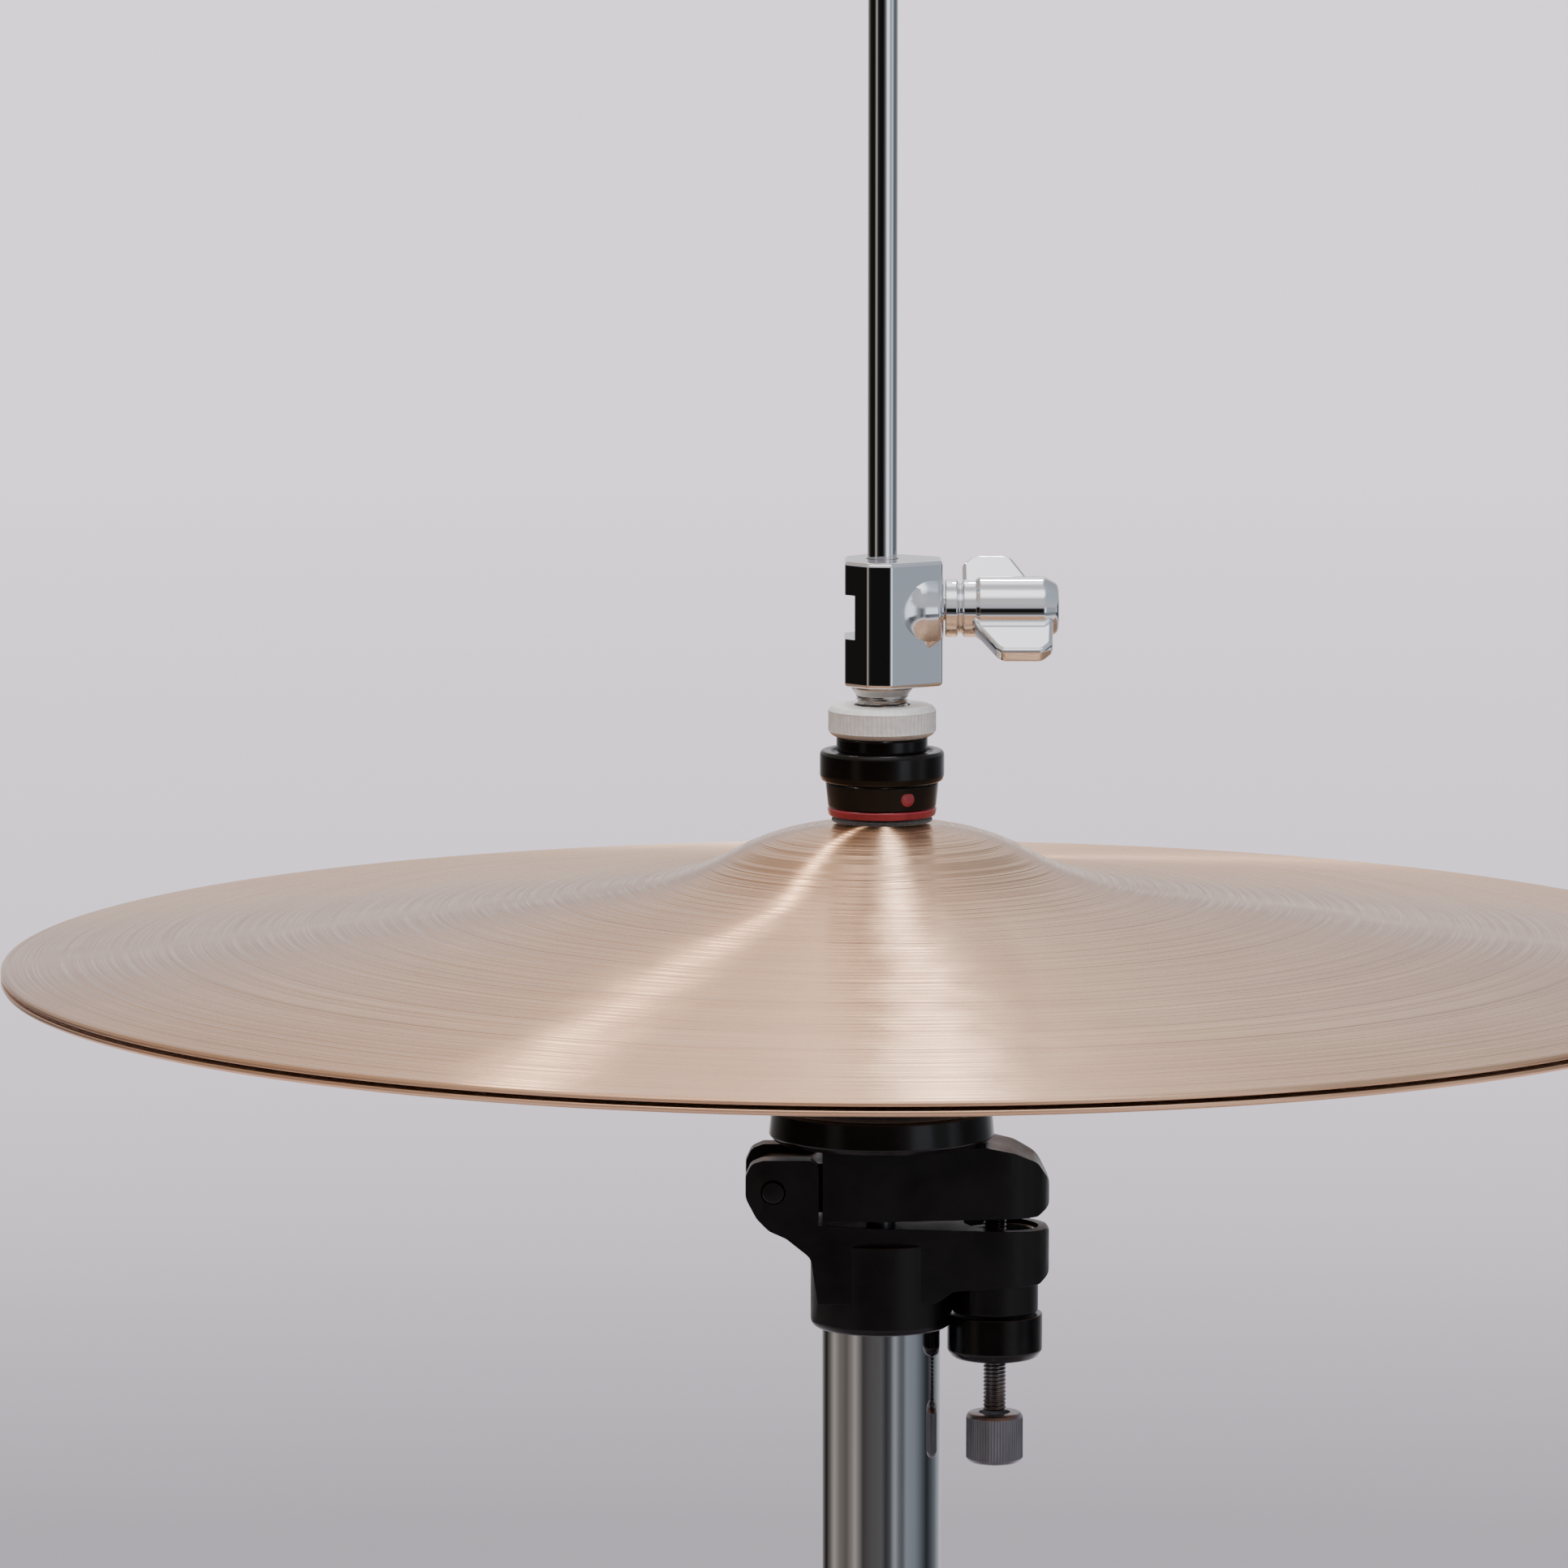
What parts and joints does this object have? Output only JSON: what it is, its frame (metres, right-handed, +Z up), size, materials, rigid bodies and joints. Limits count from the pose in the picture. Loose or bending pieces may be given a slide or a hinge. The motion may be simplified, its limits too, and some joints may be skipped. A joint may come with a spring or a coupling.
{
  "type": "hi-hat stand with cymbals",
  "caption": "Pair of 14 inch cymbals facing each other on a tripod pedal stand: the pedal's chain and rod move the upper cymbal, a screw tilts the lower one.",
  "frame": {"origin": "on the axis of the pull rod at floor level, at the middle of the pad under the pedal frame", "axes": "+Z up along the rod; +Y away from the player, so the pedal's heel is at -Y; +X to the player's right"},
  "size_m": [0.5676, 0.6637, 1.075],
  "materials": {
    "chrome": "polished chrome plate on steel",
    "satin_steel": "satin nickel-plated steel, turned or knurled",
    "cast_aluminium": "bead-blasted cast aluminium",
    "dark_steel": "black-oxide steel, lightly oiled",
    "bronze": "lathed and lightly hammered cast bronze",
    "black_paint": "black powder coat on cast metal, semi-gloss",
    "black_plastic": "moulded black plastic, glossy",
    "red_plastic": "moulded red plastic, glossy",
    "black_felt": "pressed wool felt",
    "nylon": "moulded nylon",
    "rubber": "moulded black rubber"
  },
  "bodies": {
    "stand": {"frame_crossbar": "black_paint", "floor_pad": "rubber", "frame_upright_left": "black_paint", "frame_upright_right": "black_paint", "frame_yoke": "black_paint", "radius_rod": "satin_steel", "heel_plate": "cast_aluminium", "heel_pin": "dark_steel", "return_spring": "dark_steel", "base_tube": "chrome", "leg_bracket": "black_paint", "height_clamp": "black_paint", "height_bushing": "nylon", "memory_lock": "satin_steel"},
    "spring_adjuster": {"spring_adjuster": "black_plastic"},
    "rod": {"pull_rod": "chrome", "lower_rod": "satin_steel", "rod_coupler": "satin_steel", "spring_collar": "satin_steel", "rod_clevis": "satin_steel"},
    "chain": {"chain": "dark_steel"},
    "footboard": {"footboard": "cast_aluminium", "chain_anchor": "dark_steel"},
    "leg_collar": {"leg_collar": "black_paint"},
    "leg_wing_bolt": {"leg_wing_bolt": "chrome"},
    "leg_1": {"leg_1": "chrome", "foot_1": "rubber"},
    "leg_2": {"leg_2": "chrome", "foot_2": "rubber"},
    "leg_3": {"leg_3": "chrome", "foot_3": "rubber"},
    "brace_1": {"brace_1": "chrome"},
    "brace_2": {"brace_2": "chrome"},
    "brace_3": {"brace_3": "chrome"},
    "upper_column": {"upper_tube": "chrome", "tilter_body": "black_paint", "tilter_pivot_pin": "dark_steel"},
    "height_wing_bolt": {"height_wing_bolt": "chrome"},
    "seat": {"seat_plate": "black_paint", "seat_cup": "black_plastic", "seat_felt": "black_felt", "seat_sleeve": "nylon"},
    "bottom_cymbal": {"bottom_cymbal": "bronze"},
    "tilter_screw": {"tilter_screw": "dark_steel"},
    "tilter_knob": {"tilter_knob": "satin_steel"},
    "tilter_lock_nut": {"tilter_lock_nut": "black_plastic"},
    "clutch": {"clutch_body": "chrome", "clutch_eye_bolt": "satin_steel", "clutch_sleeve": "satin_steel", "clutch_spacer": "black_plastic", "clutch_collar": "black_plastic", "clutch_housing": "black_plastic", "clutch_index_ring": "red_plastic"},
    "clutch_wing_nut": {"clutch_wing_nut": "chrome"},
    "clutch_lock_nut": {"clutch_lock_nut": "satin_steel"},
    "clutch_bottom_nut": {"clutch_bottom_nut": "satin_steel"},
    "clutch_felts": {"clutch_upper_felt": "black_felt", "clutch_lower_felt": "black_felt"},
    "top_cymbal": {"top_cymbal": "bronze"}
  },
  "joints": [
    {"name": "rod_slide", "type": "slide", "parent": "stand", "child": "rod", "axis": [0, 0, 1], "range_m": [0, 0.025], "stiffness_N_per_m": 600, "springref_m": 0.085, "deforming": ["return_spring"]},
    {"name": "footboard_hinge", "type": "hinge", "parent": "stand", "child": "footboard", "pos_m": [0, -0.262, 0.035], "axis": [1, 0, 0], "range_deg": [0, 5.48]},
    {"name": "chain_swing", "type": "hinge", "parent": "rod", "child": "chain", "pos_m": [0, 0, 0.11794], "axis": [1, 0, 0], "range_deg": [-6.13, 0]},
    {"name": "spring_adjuster_turn", "type": "hinge", "parent": "stand", "child": "spring_adjuster", "pos_m": [0, 0, 0.166], "axis": [0, 0, 1], "range_deg": [-720, 720]},
    {"name": "height_slide", "type": "slide", "parent": "stand", "child": "upper_column", "axis": [0, 0, 1], "range_m": [-0.12, 0]},
    {"name": "height_wing_bolt_turn", "type": "hinge", "parent": "stand", "child": "height_wing_bolt", "pos_m": [0.028, 0, 0.56], "axis": [0, 1, 0], "range_deg": [0, 360]},
    {"name": "leg_collar_slide", "type": "slide", "parent": "stand", "child": "leg_collar", "axis": [0, 0, 1], "range_m": [0, 0.03847]},
    {"name": "leg_wing_bolt_turn", "type": "hinge", "parent": "leg_collar", "child": "leg_wing_bolt", "pos_m": [0, -0.02, 0.43], "axis": [0, 1, 0], "range_deg": [0, 360]},
    {"name": "seat_tilt", "type": "hinge", "parent": "upper_column", "child": "seat", "pos_m": [-0.022, 0, 0.794], "axis": [0, 1, 0], "range_deg": [-1.5, 2.5]},
    {"name": "bottom_cymbal_spin", "type": "hinge", "parent": "seat", "child": "bottom_cymbal", "pos_m": [0, 0, 0.812], "axis": [0, 0, 1], "continuous": true},
    {"name": "tilter_screw_travel", "type": "slide", "parent": "upper_column", "child": "tilter_screw", "axis": [0, 0, 1], "range_m": [-0.00198, 0.00119]},
    {"name": "tilter_knob_turn", "type": "hinge", "parent": "tilter_screw", "child": "tilter_knob", "pos_m": [0.0231, 0, 0.7414], "axis": [0, 0, 1], "range_deg": [-540, 900]},
    {"name": "tilter_lock_nut_turn", "type": "hinge", "parent": "upper_column", "child": "tilter_lock_nut", "pos_m": [0.0231, 0, 0.7625], "axis": [0, 0, 1], "range_deg": [0, 360]},
    {"name": "clutch_slide", "type": "slide", "parent": "rod", "child": "clutch", "axis": [0, 0, 1], "range_m": [0, 0.05]},
    {"name": "clutch_wing_nut_turn", "type": "hinge", "parent": "clutch", "child": "clutch_wing_nut", "pos_m": [0.024, 0, 0.9112], "axis": [1, 0, 0], "range_deg": [0, 360]},
    {"name": "clutch_lock_nut_turn", "type": "hinge", "parent": "clutch", "child": "clutch_lock_nut", "pos_m": [0, 0, 0.8885], "axis": [0, 0, 1], "range_deg": [0, 360]},
    {"name": "clutch_bottom_nut_turn", "type": "hinge", "parent": "clutch", "child": "clutch_bottom_nut", "pos_m": [0, 0, 0.856], "axis": [0, 0, 1], "range_deg": [-720, 0]},
    {"name": "top_cymbal_tilt", "type": "hinge", "parent": "clutch", "child": "clutch_felts", "pos_m": [0, 0, 0.867], "axis": [0, 1, 0], "range_deg": [-1.5, 2.5]},
    {"name": "top_cymbal_spin", "type": "hinge", "parent": "clutch_felts", "child": "top_cymbal", "pos_m": [0, 0, 0.867], "axis": [0, 0, 1], "continuous": true},
    {"name": "leg_1_hinge", "type": "hinge", "parent": "leg_collar", "child": "leg_1", "pos_m": [0, 0.028, 0.43], "axis": [-1, 0, 0], "range_deg": [0, 25.05]},
    {"name": "brace_1_hinge", "type": "hinge", "parent": "stand", "child": "brace_1", "pos_m": [0, 0.028, 0.218], "axis": [-1, 0, 0], "range_deg": [-25.05, 0]},
    {"name": "leg_2_hinge", "type": "hinge", "parent": "leg_collar", "child": "leg_2", "pos_m": [-0.02425, -0.014, 0.43], "axis": [0.5, -0.866, 0], "range_deg": [0, 25.05]},
    {"name": "brace_2_hinge", "type": "hinge", "parent": "stand", "child": "brace_2", "pos_m": [-0.02425, -0.014, 0.218], "axis": [0.5, -0.866, 0], "range_deg": [-25.05, 0]},
    {"name": "leg_3_hinge", "type": "hinge", "parent": "leg_collar", "child": "leg_3", "pos_m": [0.02425, -0.014, 0.43], "axis": [0.5, 0.866, 0], "range_deg": [0, 25.05]},
    {"name": "brace_3_hinge", "type": "hinge", "parent": "stand", "child": "brace_3", "pos_m": [0.02425, -0.014, 0.218], "axis": [0.5, 0.866, 0], "range_deg": [-25.05, 0]}
  ],
  "couplings": [
    {"joint": "footboard_hinge", "follows": "rod_slide", "rad_per_m": 3.816},
    {"joint": "chain_swing", "follows": "rod_slide", "rad_per_m": -4.27},
    {"joint": "top_cymbal_tilt", "follows": "seat_tilt", "ratio": 1},
    {"joint": "tilter_screw_travel", "follows": "seat_tilt", "m_per_rad": -0.0451},
    {"joint": "leg_1_hinge", "follows": "leg_collar_slide", "rad_per_m": 11.366},
    {"joint": "brace_1_hinge", "follows": "leg_collar_slide", "rad_per_m": -11.366},
    {"joint": "leg_2_hinge", "follows": "leg_collar_slide", "rad_per_m": 11.366},
    {"joint": "brace_2_hinge", "follows": "leg_collar_slide", "rad_per_m": -11.366},
    {"joint": "leg_3_hinge", "follows": "leg_collar_slide", "rad_per_m": 11.366},
    {"joint": "brace_3_hinge", "follows": "leg_collar_slide", "rad_per_m": -11.366}
  ]
}
